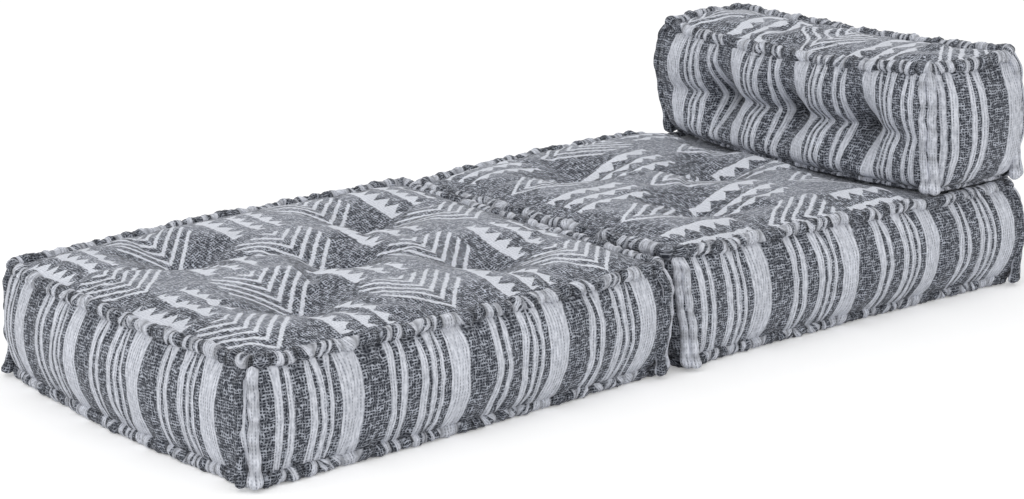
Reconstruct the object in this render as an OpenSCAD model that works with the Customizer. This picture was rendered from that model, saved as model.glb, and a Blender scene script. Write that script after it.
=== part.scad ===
// A low modular sofa for the floor: two equal seat cushions in a row, and a backrest cushion that
// stands across the head seat. No frame, legs or fasteners: each cushion is a filled block in a
// sewn cover, with rolled edges stitched along every seam and twine ties that pull the tufts in.
// +X runs from the foot seat to the backrest, -Y is the front, and the floor is Z = 0.

/* [Seats] */
// Length of one seat cushion, corner to corner over its rolled edges
seat_length = 1000; // [800:10:1200]
// Depth of the sofa, corner to corner over the rolled edges
seat_depth = 850; // [700:10:1000]
// Height of a seat cushion at its corners
seat_height = 240; // [180:5:320]
// Gap between the rolled edges of the two seats
seat_gap = 42; // [30:1:60]

/* [Backrest] */
// Thickness of the backrest over its rolled edges
back_thickness = 242; // [190:2:300]
// Height of the backrest at its corners
back_height = 280; // [230:5:360]

/* [Rolled edges] */
// Diameter of the rolled edges round the top and bottom of a cushion
roll_diameter = 28; // [20:1:34]
// Diameter of the rolls that stand at the corners
corner_roll_diameter = 26; // [18:1:30]

/* [Fullness] */
// How far a long edge bows outwards half way between its corners
edge_bow = 18; // [0:1:30]
// How far the short edges of the backrest bow outwards
end_bow = 5; // [0:1:14]
// How far a top edge rises half way between its corners
edge_rise = 4; // [0:1:16]
// How far the rear top edge of a seat rises
rear_rise = 16; // [0:1:24]
// How far the top edge of the backrest sags over its face
face_sag = 14; // [0:1:20]
// How far a top panel swells above its rolled edges
top_crown = 8; // [0:1:20]
// Thickness of a top panel at its rim, below the height of the corners
top_thickness = 44; // [40:1:60]
// How far a border swells out past the rolled edges
border_swell = 20; // [6:1:30]
// Depth of the groove between a rolled edge and the top panel
top_groove = 9; // [4:1:14]
// Depth of the groove between a rolled edge and the border
border_groove = 5; // [2:1:8]

/* [Tufts] */
// Distance between the outer tufts of a seat, along its length
tuft_spacing_x = 460; // [360:10:560]
// Distance between the outer tufts of a seat, along its depth
tuft_spacing_y = 390; // [300:10:460]
// Depth of a seat tuft
tuft_depth = 50; // [16:1:60]
// Distance between the tufts of the backrest
back_tuft_spacing = 212; // [150:2:260]
// Height of the backrest tufts above the seat
back_tuft_height = 108; // [90:2:150]
// Depth of a backrest tuft
back_tuft_depth = 42; // [16:1:50]
// Depth of the crease that joins the backrest tufts
back_crease_depth = 13; // [0:1:20]
// Diameter of the twine in the ties
twine_diameter = 4; // [2:0.5:6]
// Diameter of the knot at each end of a tie
knot_diameter = 9; // [7:0.5:12]

/* [Underside] */
// Thickness of the bottom panel
bottom_thickness = 12; // [10:1:20]

/* [Hidden] */
// Soft pieces that lie against each other stay this far apart
clearance = 0.3;
twine_clearance = 0.4;
// Least wadding left under a tuft
tuft_floor = 5;
top_tuft_radius = 155;
side_tuft_radius = 95;
// Width of the crease above and below the backrest tufts
crease_radius = 60;
// Width over which a top panel climbs from its groove to its full height
top_ease = 110;
// Nothing presses on a cushion where its pressed stretch starts this far out
never = 100000;

roll_sides = 8;
roll_radius = roll_diameter / 2;
corner_roll_radius = corner_roll_diameter / 2;
// A corner roll seats against the two border ends that it joins
corner_seat = corner_roll_radius + clearance;
corner_radius = max(corner_roll_radius + sqrt(2) * corner_seat, roll_diameter + 2);
// The core, the top panel and the bottom panel share one outline, inside the rolled edges
panel_inset = roll_diameter + clearance;
bore_radius = twine_diameter / 2 + twine_clearance;
recess_radius = knot_diameter + 6;
recess_depth = knot_diameter + 1.2;
// A knot lies on the slopes of its tuft, which are steeper in a deep and narrow one
function knot_lift(depth, radius) = 0.6 * knot_diameter * norm([1, 2 * depth / radius]);

// Sides of a cushion are numbered counter-clockwise from the front: 0 is -Y, 1 +X, 2 +Y, 3 -X.
// Rows up a border, as shares of its height; the middle row lies at the widest swell.
plain_rows = [0, 0.12, 0.3, 0.5, 0.7, 0.88, 1];
tufted_rows = [0, 0.12, 0.26, 0.38, 0.5, 0.62, 0.74, 0.88, 1];

function both_ways(lines) =
    concat([for (i = [len(lines) - 1 : -1 : 0]) -lines[i]], [0], lines);
// Lines across a cushion from its middle to one corner, where its edges are given
function tufted_lines(tuft, size) =
    let (end = size / 2 - corner_radius) [tuft / 2, tuft, (tuft + end) / 2, end];
function plain_lines(size) = let (end = size / 2 - corner_radius) [end / 2, end];

// A cushion: size, its lines along x and y, bow, rise and swell of each side, where a load
// starts to press on its top, its top tufts, and the height of its widest swell and side tufts
function cushion(size, lines, bows, rises, swells, pressed_from, tufts, swell_height, side_tufts) =
    [size, lines, bows, rises, swells, pressed_from, tufts, swell_height, side_tufts];
function size_of(c) = c[0];
function half_lines(c, axis) = c[1][axis];
function bow_of(c, side) = c[2][side];
function rise_of(c, side) = c[3][side];
function swell_of(c, side) = c[4][side];
function pressed_from(c) = c[5];
function tufts_of(c) = c[6];
function swell_height(c) = c[7];
function side_tufts(c, side) = side % 2 == 1 ? c[8] : [];

function half_size(c, axis) = size_of(c)[axis] / 2;
// Where the straight run of an edge ends and its corner starts
function end_of(c, axis) = half_size(c, axis) - corner_radius;
function lines_of(c, side) = both_ways(half_lines(c, side % 2));
// Lines of a panel up to its last one before the corner, closer beside its tufts if it has any
function panel_lines(c, axis, tufted) =
    let (l = half_lines(c, axis), last = len(l) - 1, near_end = 0.3 * l[last - 1] + 0.7 * l[last])
    tufted ? [0.2 * l[1], l[0], 0.8 * l[1], l[1], 1.2 * l[1], l[2], near_end]
    : concat([for (i = [0 : last - 1]) l[i]], [near_end]);
function top_lines(c, axis) = both_ways(panel_lines(c, axis, len(tufts_of(c)) > 0));

// A point of the front side, turned to another side
function turned(p, side) =
    side == 0 ? p : turned(len(p) == 3 ? [-p.y, p.x, p.z] : [-p.y, p.x], side - 1);
function arched(t, end) = 1 - pow(t / end, 2);
function free_at(c, x) = x < pressed_from(c) ? 1 : 0;
function line_x(c, side, t) =
    side == 0 ? t : side == 2 ? -t : side == 1 ? half_size(c, 0) : -half_size(c, 0);
// Bow and rise are worked out on the lines and run straight between them, so that the rolled
// edges and the panels beside them stay parallel
function bow_at(c, side, t) = lookup(t, [for (s = lines_of(c, side))
    [s, bow_of(c, side) * arched(s, end_of(c, side % 2))]]);
function rise_at(c, side, t) = lookup(t, [for (s = lines_of(c, side))
    [s, rise_of(c, side) * arched(s, end_of(c, side % 2)) * free_at(c, line_x(c, side, s))]]);
function freedom(c, x) = lookup(x, [for (s = lines_of(c, 0)) [s, free_at(c, s)]]);

// A station of the outline: its place, its outward direction and the rise of the edge there
function side_station(c, side, t) = [
    turned([t, -half_size(c, 1 - side % 2) - bow_at(c, side, t)], side),
    turned([0, -1], side),
    rise_at(c, side, t)
];
function corner_centre(c, side) =
    turned([end_of(c, side % 2), -end_of(c, 1 - side % 2)], side);
function diagonal(side) = turned([sqrt(0.5), -sqrt(0.5)], side);
function corner_station(c, side) =
    [corner_centre(c, side) + corner_radius * diagonal(side), diagonal(side), 0];
function stations(c) = [for (side = [0 : 3])
    each concat([for (t = lines_of(c, side)) side_station(c, side, t)], [corner_station(c, side)])];
function outline(c, inset) = [for (s = stations(c)) s[0] - inset * s[1]];

// Tufts draw the cover in along a smooth funnel
function drawn_in(distance, radius, depth) = depth * pow(max(0, 1 - distance / radius), 2);
function eased(distance) = 1 - pow(1 - min(1, max(0, distance / top_ease)), 2);

// Height of a top panel at an inner point of its grid
function panel_half(c, axis) = half_size(c, axis) - panel_inset;
function edge_blend(c, x, y) =
    let (u = 0.5 + x / panel_half(c, 0) / 2, v = 0.5 + y / panel_half(c, 1) / 2)
    (1 - v) * rise_at(c, 0, x) + v * rise_at(c, 2, -x)
    + (1 - u) * rise_at(c, 3, -y) + u * rise_at(c, 1, y);
function fullness(c, x, y) =
    eased(panel_half(c, 0) - abs(x)) * eased(panel_half(c, 1) - abs(y));
function tuft_pull(c, x, y) = len(tufts_of(c)) == 0 ? 0 :
    max([for (t = tufts_of(c)) drawn_in(norm([x, y] - t), top_tuft_radius, tuft_depth)]);
function panel_floor(c) = size_of(c).z - top_thickness;
function top_height(c, x, y) = max(panel_floor(c) + tuft_floor,
    size_of(c).z - top_groove + edge_blend(c, x, y) * freedom(c, x)
    + (top_groove + top_crown * freedom(c, x)) * fullness(c, x, y) - tuft_pull(c, x, y));

// A border's lines, and the height and the place of its outer face on a line and a row
function border_lines(c, side) = len(side_tufts(c, side)) == 0 ? lines_of(c, side)
    : both_ways(concat(panel_lines(c, side % 2, true), [end_of(c, side % 2)]));
function border_z(c, side, t, row) = lookup(row, [
    [0, roll_diameter + clearance],
    [0.5, swell_height(c)],
    [1, size_of(c).z + rise_at(c, side, t) - roll_diameter - clearance]
]);
function border_swell_at(c, side, t, row) =
    (border_groove + swell_of(c, side) * (1 - 0.75 * pow(t / end_of(c, side % 2), 4)))
    * (1 - pow(abs(2 * row - 1), 2.4)) - border_groove;
function border_pull(c, side, t, z) = len(side_tufts(c, side)) == 0 ? 0 :
    let (rise = z - swell_height(c), tufts = [for (s = side_tufts(c, side))
        drawn_in(norm([t - s, rise]), side_tuft_radius, back_tuft_depth)])
    max(max(tufts), drawn_in(abs(rise), crease_radius, back_crease_depth)
        * (1 - pow(t / end_of(c, side % 2), 4)));
function border_front(c, side, t, row) =
    -half_size(c, 1 - side % 2) - bow_at(c, side, t)
    - max(tuft_floor - roll_diameter,
        border_swell_at(c, side, t, row) - border_pull(c, side, t, border_z(c, side, t, row)));

// One point of the top panel's grid, where i and j count its lines along x and y
function rim_point(c, side, t) =
    let (s = side_station(c, side, t), p = s[0] - panel_inset * s[1])
    [p.x, p.y, size_of(c).z + s[2] - top_groove];
function rim_corner(c, side) =
    let (p = corner_centre(c, side) + max(0.5, corner_radius - panel_inset) * diagonal(side))
    [p.x, p.y, size_of(c).z - top_groove];
function grid_point(c, xs, ys, i, j) =
    let (last_i = len(xs) + 1, last_j = len(ys) + 1)
    j == 0 ? (i == 0 ? rim_corner(c, 3) : i == last_i ? rim_corner(c, 0) : rim_point(c, 0, xs[i - 1]))
    : j == last_j
        ? (i == 0 ? rim_corner(c, 2) : i == last_i ? rim_corner(c, 1) : rim_point(c, 2, -xs[i - 1]))
    : i == 0 ? rim_point(c, 3, -ys[j - 1])
    : i == last_i ? rim_point(c, 1, ys[j - 1])
    : [xs[i - 1], ys[j - 1], top_height(c, xs[i - 1], ys[j - 1])];

// Two triangles for a square of four point numbers
function square_faces(a, b, c, d) = [[a, b, c], [a, c, d]];

// A rolled edge round a whole cushion, with its crown line at the given height
module edge_roll(c, height, follows_rise) {
    path = stations(c);
    count = len(path);
    reach = roll_radius / cos(180 / roll_sides);
    points = [for (s = path, k = [0 : roll_sides - 1])
        let (a = (k + 0.5) * 360 / roll_sides, out = reach * cos(a) - roll_radius,
             p = s[0] + out * s[1])
        [p.x, p.y, height - roll_radius + (follows_rise ? s[2] : 0) + reach * sin(a)]];
    faces = [for (i = [0 : count - 1], k = [0 : roll_sides - 1])
        let (here = i * roll_sides, next = (i + 1) % count * roll_sides, l = (k + 1) % roll_sides)
        each square_faces(here + k, here + l, next + l, next + k)];
    polyhedron(points, faces);
}

// The four rolls that stand at the corners, bowed out between the two rolled edges
module corner_roll_set(c) {
    low = roll_diameter + clearance;
    high = size_of(c).z - roll_diameter - clearance;
    rings = 4;
    last = rings * roll_sides;
    reach = corner_roll_radius / cos(180 / roll_sides);
    for (side = [0 : 3]) {
        middle = corner_centre(c, side) + sqrt(2) * corner_seat * diagonal(side);
        points = [for (i = [0 : rings], k = [0 : roll_sides - 1])
            let (share = i / rings, a = (k + 0.5) * 360 / roll_sides,
                 bulge = border_swell / 2 * sin(180 * share),
                 p = middle + bulge * diagonal(side) + reach * [cos(a), sin(a)])
            [p.x, p.y, low + share * (high - low)]];
        walls = [for (i = [0 : rings - 1], k = [0 : roll_sides - 1])
            let (here = i * roll_sides, next = here + roll_sides, l = (k + 1) % roll_sides)
            each square_faces(here + k, next + k, next + l, here + l)];
        foot = [for (k = [1 : roll_sides - 2]) [0, k, k + 1]];
        head = [for (k = [1 : roll_sides - 2]) [last, last + k + 1, last + k]];
        polyhedron(points, concat(walls, foot, head));
    }
}

// The crowned top panel on its flat backing, which lies on the core
module top_panel(c) {
    xs = top_lines(c, 0);
    ys = top_lines(c, 1);
    across = len(xs) + 2;
    along = len(ys) + 2;
    top = [for (i = [0 : across - 1], j = [0 : along - 1]) grid_point(c, xs, ys, i, j)];
    rim = concat(
        [for (i = [0 : across - 2]) i * along],
        [for (j = [0 : along - 2]) (across - 1) * along + j],
        [for (i = [across - 1 : -1 : 1]) i * along + along - 1],
        [for (j = [along - 1 : -1 : 1]) j]);
    backing = [for (n = rim) [top[n].x, top[n].y, panel_floor(c)]];
    count = len(rim);
    first = len(top);
    middle = first + count;
    crown = [for (i = [0 : across - 2], j = [0 : along - 2])
        let (n = i * along + j) each square_faces(n, n + 1, n + along + 1, n + along)];
    wall = [for (k = [0 : count - 1]) let (l = (k + 1) % count)
        each square_faces(rim[k], rim[l], first + l, first + k)];
    under = [for (k = [0 : count - 1]) [middle, first + k, first + (k + 1) % count]];
    polyhedron(concat(top, backing, [[0, 0, panel_floor(c)]]), concat(crown, wall, under));
}

// One border: swollen between its grooves, drawn in by its tufts, flat at the back
module border_panel(c, side) {
    ts = border_lines(c, side);
    rows = len(side_tufts(c, side)) > 0 ? tufted_rows : plain_rows;
    back = -half_size(c, 1 - side % 2) + roll_diameter;
    count = len(ts);
    rise = len(rows);
    front = [for (t = ts, row = rows) [t, border_front(c, side, t, row), border_z(c, side, t, row)]];
    back_low = [for (t = ts) [t, back - bow_at(c, side, t), border_z(c, side, t, 0)]];
    back_high = [for (t = ts) [t, back - bow_at(c, side, t), border_z(c, side, t, 1)]];
    lows = len(front);
    highs = lows + count;
    last = lows - rise;
    face = [for (i = [0 : count - 2], j = [0 : rise - 2])
        let (n = i * rise + j) each square_faces(n, n + 1, n + rise + 1, n + rise)];
    backing = [for (i = [0 : count - 2])
        each square_faces(lows + i, lows + i + 1, highs + i + 1, highs + i)];
    hems = [for (i = [0 : count - 2]) let (low = i * rise, high = low + rise - 1) each concat(
        square_faces(low, low + rise, lows + i + 1, lows + i),
        square_faces(high, highs + i, highs + i + 1, high + rise))];
    left_end = [for (j = [0 : rise - 2]) [lows, j + 1, j]];
    right_end = [for (j = [0 : rise - 2]) [highs - 1, last + j, last + j + 1]];
    corners = [[lows, highs, rise - 1], [highs - 1, lows - 1, highs + count - 1]];
    polyhedron([for (p = concat(front, back_low, back_high)) turned(p, side)],
        concat(face, backing, hems, left_end, right_end, corners));
}

// A bore along a tie, for every top tuft
module tuft_bores(c) {
    for (t = tufts_of(c)) translate([t.x, t.y, -1]) cylinder(h = size_of(c).z + 100, r = bore_radius);
}
// The bores of the ties that cross the cushion from its face to its reverse
module side_tuft_bores(c) {
    for (t = side_tufts(c, 1)) translate([-size_of(c).x, t, swell_height(c)]) rotate([0, 90, 0])
        cylinder(h = 2 * size_of(c).x, r = bore_radius);
}

module core(c) {
    color("ivory") difference() {
        translate([0, 0, bottom_thickness + clearance])
            linear_extrude(panel_floor(c) - bottom_thickness - 2 * clearance)
                polygon(outline(c, panel_inset));
        tuft_bores(c);
        side_tuft_bores(c);
    }
}
module cover_top(c) {
    color([0.6, 0.61, 0.64]) difference() {
        top_panel(c);
        tuft_bores(c);
    }
}
module cover_bottom(c) {
    color([0.45, 0.46, 0.5]) difference() {
        linear_extrude(bottom_thickness) polygon(outline(c, panel_inset));
        for (t = tufts_of(c)) translate([t.x, t.y, -1]) {
            cylinder(h = recess_depth + 1, r1 = recess_radius, r2 = recess_radius / 2);
            cylinder(h = bottom_thickness + 2, r = bore_radius);
        }
    }
}
module border(c, side) {
    color(side % 2 == 0 ? [0.5, 0.52, 0.56] : [0.56, 0.58, 0.62]) difference() {
        border_panel(c, side);
        if (side % 2 == 1) side_tuft_bores(c);
    }
}
module top_roll(c) {
    color([0.74, 0.75, 0.78]) edge_roll(c, size_of(c).z, true);
}
module bottom_roll(c) {
    color([0.66, 0.67, 0.71]) edge_roll(c, roll_diameter, false);
}
module corner_rolls(c) {
    color([0.8, 0.81, 0.84]) corner_roll_set(c);
}
// A tie along Z from a tuft in the top to a recess in the underside, knotted at both ends
module top_ties(c) {
    low = recess_depth - knot_diameter / 2 - 0.4;
    color("dimgray") for (t = tufts_of(c)) translate([t.x, t.y, 0]) {
        high = top_height(c, t.x, t.y) + knot_lift(tuft_depth, top_tuft_radius);
        translate([0, 0, low]) cylinder(h = high - low, d = twine_diameter);
        for (z = [low, high]) translate([0, 0, z]) sphere(d = knot_diameter);
    }
}
// A tie along X from a tuft in the face of the backrest to the one in its reverse
module side_ties(c) {
    color("dimgray") for (t = side_tufts(c, 1)) translate([0, t, swell_height(c)]) {
        reach = -border_front(c, 1, t, 0.5) + knot_lift(back_tuft_depth, side_tuft_radius);
        translate([-reach, 0, 0]) rotate([0, 90, 0]) cylinder(h = 2 * reach, d = twine_diameter);
        for (x = [-reach, reach]) translate([x, 0, 0]) sphere(d = knot_diameter);
    }
}

// The three cushions, each in its own frame, with its origin under its middle
seat_size = [seat_length, seat_depth, seat_height];
back_size = [back_thickness, seat_depth, back_height];
seat_lines = [
    tufted_lines(tuft_spacing_x / 2, seat_length),
    tufted_lines(tuft_spacing_y / 2, seat_depth)
];
back_lines = [plain_lines(back_thickness), tufted_lines(back_tuft_spacing, seat_depth)];
seat_tufts = [
    [0, 0],
    for (x = [-1, 1], y = [-1, 1]) [x * tuft_spacing_x / 2, y * tuft_spacing_y / 2]
];
// The two seats swell until their borders meet half way across the gap
facing_swell = (seat_gap - clearance) / 2;
seat_rises = [edge_rise, edge_rise, rear_rise, edge_rise];
foot_seat = cushion(seat_size, seat_lines,
    [edge_bow, 0, edge_bow, edge_bow], seat_rises,
    [border_swell, facing_swell, border_swell, border_swell],
    never, seat_tufts, seat_height / 2, []);
// The backrest presses the head seat flat, from the last line in front of it
back_front = seat_length / 2 - back_thickness - edge_bow - clearance;
pressed_lines = [for (x = both_ways(seat_lines.x)) if (x <= back_front) x];
head_seat = cushion(seat_size, seat_lines,
    [edge_bow, edge_bow, edge_bow, 0], seat_rises,
    [border_swell, border_swell, border_swell, facing_swell],
    max(pressed_lines), seat_tufts, seat_height / 2, []);
backrest = cushion(back_size, back_lines,
    [end_bow, edge_bow, end_bow, edge_bow], [edge_rise, edge_rise, edge_rise, -face_sag],
    [for (side = [0 : 3]) border_swell],
    never, [], back_tuft_height, [-back_tuft_spacing, 0, back_tuft_spacing]);

module at_foot() translate([-(seat_length + seat_gap) / 2, 0, 0]) children();
module at_head() translate([(seat_length + seat_gap) / 2, 0, 0]) children();
module at_back() translate([seat_length + (seat_gap - back_thickness) / 2, 0, seat_height + clearance])
    children();

at_foot() core(foot_seat);  // foot_seat_core
at_foot() cover_top(foot_seat);  // foot_seat_cover_top
at_foot() cover_bottom(foot_seat);  // foot_seat_cover_bottom
at_foot() border(foot_seat, 0);  // foot_seat_border_front
at_foot() border(foot_seat, 1);  // foot_seat_border_inner
at_foot() border(foot_seat, 2);  // foot_seat_border_rear
at_foot() border(foot_seat, 3);  // foot_seat_border_end
at_foot() top_roll(foot_seat);  // foot_seat_top_roll
at_foot() bottom_roll(foot_seat);  // foot_seat_bottom_roll
at_foot() corner_rolls(foot_seat);  // foot_seat_corner_rolls
at_foot() top_ties(foot_seat);  // foot_seat_ties

at_head() core(head_seat);  // head_seat_core
at_head() cover_top(head_seat);  // head_seat_cover_top
at_head() cover_bottom(head_seat);  // head_seat_cover_bottom
at_head() border(head_seat, 0);  // head_seat_border_front
at_head() border(head_seat, 1);  // head_seat_border_end
at_head() border(head_seat, 2);  // head_seat_border_rear
at_head() border(head_seat, 3);  // head_seat_border_inner
at_head() top_roll(head_seat);  // head_seat_top_roll
at_head() bottom_roll(head_seat);  // head_seat_bottom_roll
at_head() corner_rolls(head_seat);  // head_seat_corner_rolls
at_head() top_ties(head_seat);  // head_seat_ties

at_back() core(backrest);  // backrest_core
at_back() cover_top(backrest);  // backrest_cover_top
at_back() cover_bottom(backrest);  // backrest_cover_bottom
at_back() border(backrest, 0);  // backrest_border_front
at_back() border(backrest, 1);  // backrest_reverse
at_back() border(backrest, 2);  // backrest_border_rear
at_back() border(backrest, 3);  // backrest_face
at_back() top_roll(backrest);  // backrest_top_roll
at_back() bottom_roll(backrest);  // backrest_bottom_roll
at_back() corner_rolls(backrest);  // backrest_corner_rolls
at_back() side_ties(backrest);  // backrest_ties
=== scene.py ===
import math

import bpy
import numpy as np
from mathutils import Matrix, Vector


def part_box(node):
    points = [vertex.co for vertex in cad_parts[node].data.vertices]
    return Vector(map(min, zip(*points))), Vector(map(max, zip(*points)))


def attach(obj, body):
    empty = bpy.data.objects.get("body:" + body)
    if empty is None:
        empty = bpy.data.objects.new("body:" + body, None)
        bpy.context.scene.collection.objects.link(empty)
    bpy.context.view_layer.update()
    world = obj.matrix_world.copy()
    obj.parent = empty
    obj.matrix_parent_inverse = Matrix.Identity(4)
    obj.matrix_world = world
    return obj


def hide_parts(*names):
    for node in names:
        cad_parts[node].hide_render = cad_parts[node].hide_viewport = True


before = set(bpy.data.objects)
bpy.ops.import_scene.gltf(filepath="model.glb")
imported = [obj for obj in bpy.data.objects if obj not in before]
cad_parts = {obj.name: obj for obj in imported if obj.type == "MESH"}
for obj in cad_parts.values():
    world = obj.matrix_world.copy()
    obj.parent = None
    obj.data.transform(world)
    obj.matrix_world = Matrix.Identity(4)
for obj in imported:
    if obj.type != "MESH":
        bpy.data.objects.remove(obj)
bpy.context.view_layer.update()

# A low sofa of three loose cushions: two seats in a row and a backrest across the far one.
# Sides of a cushion are numbered counter-clockwise from the front: 0 is -Y, 1 +X, 2 +Y, 3 -X.
# Lengths are metres. The cloth's own measure is its UV map, in metres of fabric.

camera = {
    "place": (-3.6893, -4.2700, 1.6561),
    "yaw": 49.661,
    "down": 14.741,
    "lens": 97.39,
}


def addObject(name, data):
    made = bpy.data.objects.new(name, data)
    bpy.context.scene.collection.objects.link(made)
    return made


# Turn an object so that it looks along a direction
def aim(thing, direction):
    thing.rotation_mode = "QUATERNION"
    thing.rotation_quaternion = direction.to_track_quat("-Z", "Y")


def placeCamera():
    data = bpy.data.cameras.new("studioCamera")
    data.lens = camera["lens"]
    data.sensor_width = 36
    data.clip_end = 60
    eye = addObject("studioCamera", data)
    yaw = math.radians(camera["yaw"])
    down = math.radians(camera["down"])
    aim(eye, Vector((math.cos(down) * math.cos(yaw), math.cos(down) * math.sin(yaw), -math.sin(down))))
    eye.location = camera["place"]
    bpy.context.scene.camera = eye


# A value in a node tree: sums written with it add the nodes that work them out
class Signal:
    def __init__(self, socket):
        self.socket = socket

    def __add__(self, other):
        return calc("ADD", self, other)

    def __sub__(self, other):
        return calc("SUBTRACT", self, other)

    def __rsub__(self, other):
        return calc("SUBTRACT", other, self)

    def __mul__(self, other):
        return calc("MULTIPLY", self, other)

    def __truediv__(self, other):
        return calc("DIVIDE", self, other)

    __rmul__ = __mul__


# An input is a number, a colour, a signal, a socket, or None to leave it alone
def feed(tree, socket, value):
    if isinstance(value, Signal):
        value = value.socket
    if isinstance(value, bpy.types.NodeSocket):
        tree.links.new(value, socket)
    elif value is not None:
        socket.default_value = value


def addNode(tree, kind, inputs=(), **settings):
    made = tree.nodes.new(kind)
    for name, value in settings.items():
        setattr(made, name, value)
    for socket, value in zip(made.inputs, inputs):
        feed(tree, socket, value)
    return made


def treeOf(*values):
    return next(value.socket.id_data for value in values if isinstance(value, Signal))


def calc(operation, *values):
    return Signal(addNode(treeOf(*values), "ShaderNodeMath", values, operation=operation).outputs[0])


def calcVector(operation, *values):
    return Signal(addNode(treeOf(*values), "ShaderNodeVectorMath", values, operation=operation).outputs[0])


def scaled(colour, factor):
    made = addNode(treeOf(colour), "ShaderNodeVectorMath", (colour,), operation="SCALE")
    feed(made.id_data, made.inputs["Scale"], factor)
    return Signal(made.outputs[0])


# A value that goes from 0 at low to 1 at high, and stays there
def ramp(value, low, high):
    made = addNode(treeOf(value), "ShaderNodeMapRange", (value, low, high, 0.0, 1.0), clamp=True)
    return Signal(made.outputs["Result"])


# 1 at whole numbers and 0 half-way between them
def saw(value):
    return calc("ABSOLUTE", calc("FRACT", value) * 2.0 - 1.0)


def noise(place, scale, detail=2.0, roughness=0.5):
    made = addNode(treeOf(place), "ShaderNodeTexNoise", noise_dimensions="2D")
    for label, value in (("Vector", place), ("Scale", scale), ("Detail", detail), ("Roughness", roughness)):
        feed(made.id_data, made.inputs[label], value)
    return {label: Signal(made.outputs[label]) for label in ("Fac", "Color")}


def apart(place):
    parts = addNode(treeOf(place), "ShaderNodeSeparateXYZ", (place,)).outputs
    return Signal(parts["X"]), Signal(parts["Y"])


def joined(x, y):
    return Signal(addNode(treeOf(x), "ShaderNodeCombineXYZ", (x, y, 0.0)).outputs[0])


def mixColour(share, a, b):
    made = addNode(treeOf(share), "ShaderNodeMix", data_type="RGBA")
    for number, value in ((0, share), (6, a), (7, b)):
        feed(made.id_data, made.inputs[number], value)
    return Signal(made.outputs[2])


# A node group with inputs of value None for a vector, and number outputs
def startGroup(name, inputs, outputs):
    tree = bpy.data.node_groups.new(name, "ShaderNodeTree")
    for label, value in inputs.items():
        kind = "NodeSocketVector" if value is None else "NodeSocketFloat"
        socket = tree.interface.new_socket(name=label, in_out="INPUT", socket_type=kind)
        if value is not None:
            socket.default_value = value
    for label in outputs:
        tree.interface.new_socket(name=label, in_out="OUTPUT", socket_type="NodeSocketFloat")
    entry = tree.nodes.new("NodeGroupInput").outputs
    leave = tree.nodes.new("NodeGroupOutput").inputs
    return tree, {label: Signal(entry[label]) for label in inputs}, leave


def finishGroup(tree, leave, **values):
    for label, value in values.items():
        feed(tree, leave[label], value)
    return tree


def useGroup(tree, group, **inputs):
    made = tree.nodes.new("ShaderNodeGroup")
    made.node_tree = group
    for label, value in inputs.items():
        feed(tree, made.inputs[label], value)
    return {socket.name: Signal(socket) for socket in made.outputs}


# Written colour of the photo's 0 to 255 scale as the shader wants it
def cloth8(red, green, blue):
    def linear(value):
        value = value / 255
        return value / 12.92 if value <= 0.04045 else ((value + 0.055) / 1.055) ** 2.4
    return (linear(red), linear(green), linear(blue), 1.0)


# Yarns wander out of line, thin out in patches, and lanes keep their slubs apart
yarns = {
    "wanderScale": 60.0,
    "wander": 0.009,
    "laneStep": 7.31,
    "warpSeed": 3.1,
    "weftSeed": 57.7,
    "faintest": 0.26,
    "patchScale": 95.0,
    "thinnest": 0.33,
    "patchGain": 0.95,
}


# Slubbed yarns that run both ways: Light is where a pale yarn shows, Height its roundness
def makeWeaveGroup():
    tree, given, leave = startGroup(
        "slubWeave",
        {"Cloth": None, "Pitch": 0.0044, "Slub": 0.009, "Warp": 0.5, "Weft": 0.5}, ("Light", "Height"))
    wander = noise(given["Cloth"], yarns["wanderScale"])["Color"]
    sway = (yarns["wander"], yarns["wander"], 0.0)
    x, y = apart(calcVector("MULTIPLY_ADD", wander, sway, given["Cloth"]))
    shown, heights = [], []
    for across, along, share, seed in (
            (x, y, given["Warp"], yarns["warpSeed"]), (y, x, given["Weft"], yarns["weftSeed"])):
        counted = across / given["Pitch"]
        roundness = 1.0 - saw(counted)
        lane = calc("FLOOR", counted) * yarns["laneStep"] + seed
        slub = noise(joined(lane, along / given["Slub"]), 1.0, detail=1.0)["Fac"]
        edge = 0.86 - share * 0.72
        presence = ramp(slub, edge - 0.2, edge + 0.12) * (1 - yarns["faintest"]) + yarns["faintest"]
        shown.append(presence * ramp(roundness, 0.40, 0.82))
        heights.append(roundness * (presence * 0.5 + 0.5))
    patches = ramp(noise(given["Cloth"], yarns["patchScale"])["Fac"], 0.38, 0.62)
    light = calc("MAXIMUM", *shown) * (patches * yarns["patchGain"] + yarns["thinnest"])
    return finishGroup(tree, leave, Light=light, Height=calc("MAXIMUM", *heights))


# Bands of the striped cloth, in millimetres, pale and dark in turn, starting with the wide pale
# one. Ribs are dashed dark lines along the pale bands.
stripes = {
    "repeat": 0.238,
    "bands": (48, 58, 15.5, 10.5, 12, 29, 15, 8, 11, 8, 8, 15),
    "driftScale": 14.0,
    "waver": 0.0016,
    "softness": 0.0007,
    "ribEvery": 0.0068,
    "ribRun": 0.05,
    "dashEvery": 0.0062,
    "streaks": (240.0, 75.0),
}


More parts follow.
